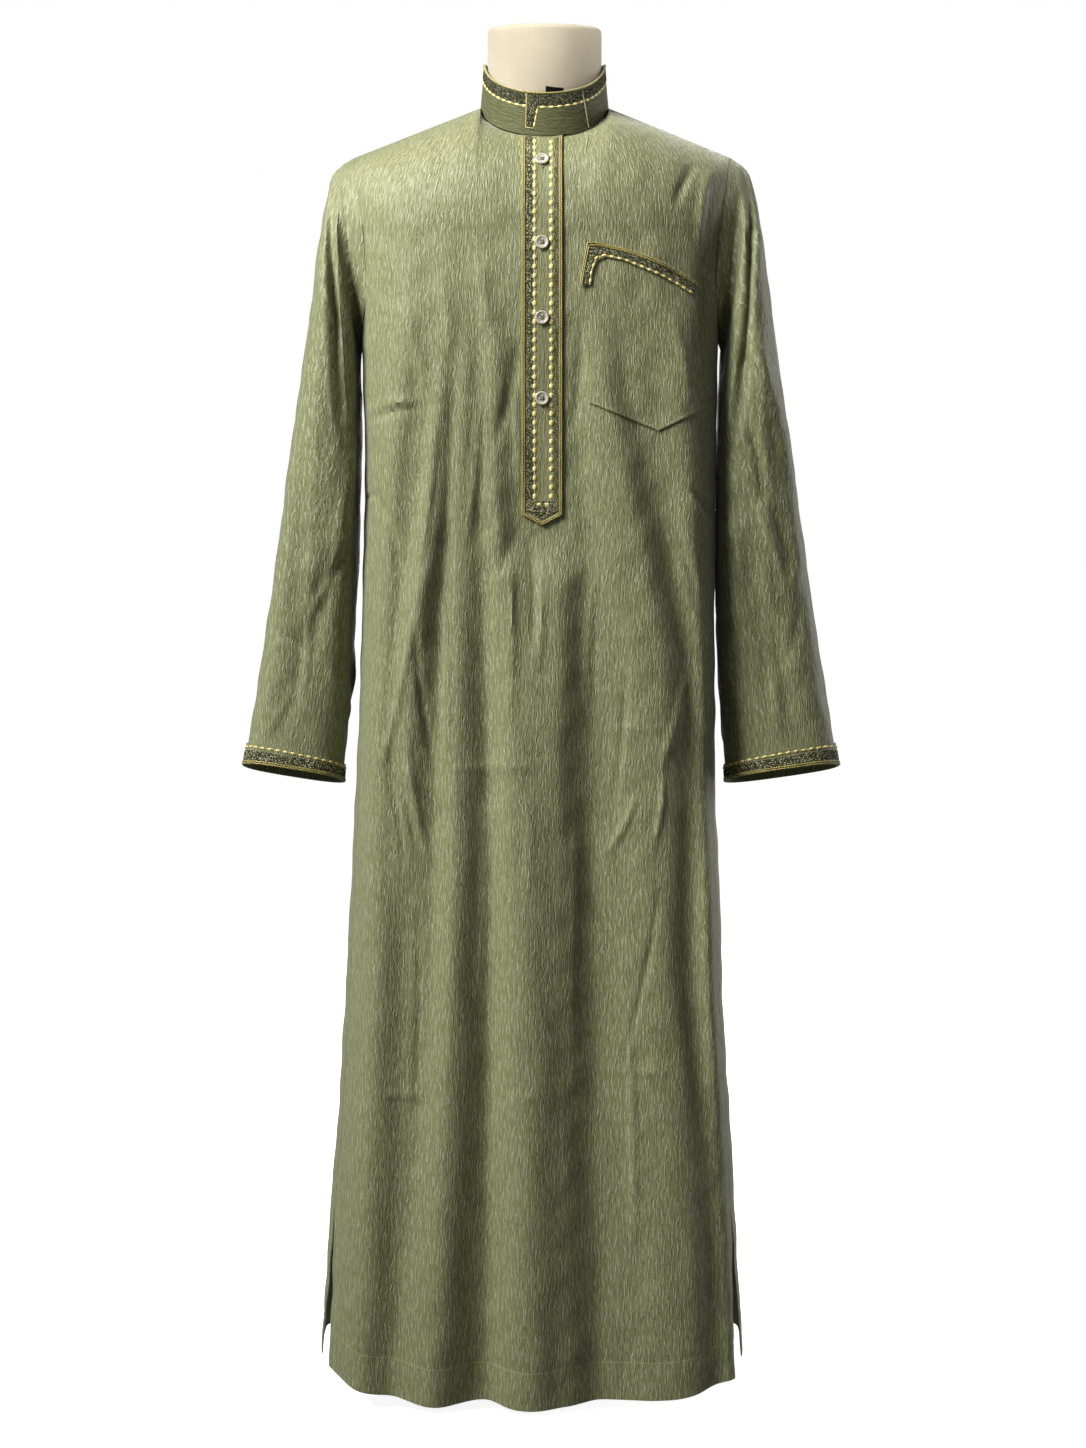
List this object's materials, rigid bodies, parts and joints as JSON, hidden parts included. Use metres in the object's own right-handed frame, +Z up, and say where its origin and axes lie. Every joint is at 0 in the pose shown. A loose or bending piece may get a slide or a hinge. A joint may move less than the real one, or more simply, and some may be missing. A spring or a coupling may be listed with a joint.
{
  "type": "thobe robe (abaya) on a dress form",
  "caption": "Long sage-green robe with standing collar, trimmed placket, chest pocket and long sleeves, hanging open on a limbless cream dress form with a round base.",
  "frame": {"origin": "centre of the base's underside, on the floor under the form", "axes": "+Z up, the robe's front faces -Y, its wearer's left is at +X"},
  "size_m": [0.6332, 0.3983, 1.4445],
  "materials": {
    "robe_cloth": "crinkled slub weave with a soft sheen",
    "trim": "embroidered band with gold cord edges",
    "button": "pearly, with a raised rim",
    "tape": "plain black woven tape",
    "form_cover": "smooth cream cotton over padding",
    "stand": "white powder coat"
  },
  "bodies": {
    "root": {"front": "robe_cloth", "back": "robe_cloth", "sleeve_left": "robe_cloth", "sleeve_right": "robe_cloth", "collar": "robe_cloth", "pocket": "robe_cloth", "placket": "trim", "pocket_band": "trim", "cuff_band_left": "trim", "cuff_band_right": "trim", "button_1": "button", "button_2": "button", "button_3": "button", "button_4": "button", "neck_tape": "tape", "form_torso": "form_cover", "form_neck": "form_cover", "stand_base": "stand", "stand_pole": "stand"}
  },
  "joints": []
}
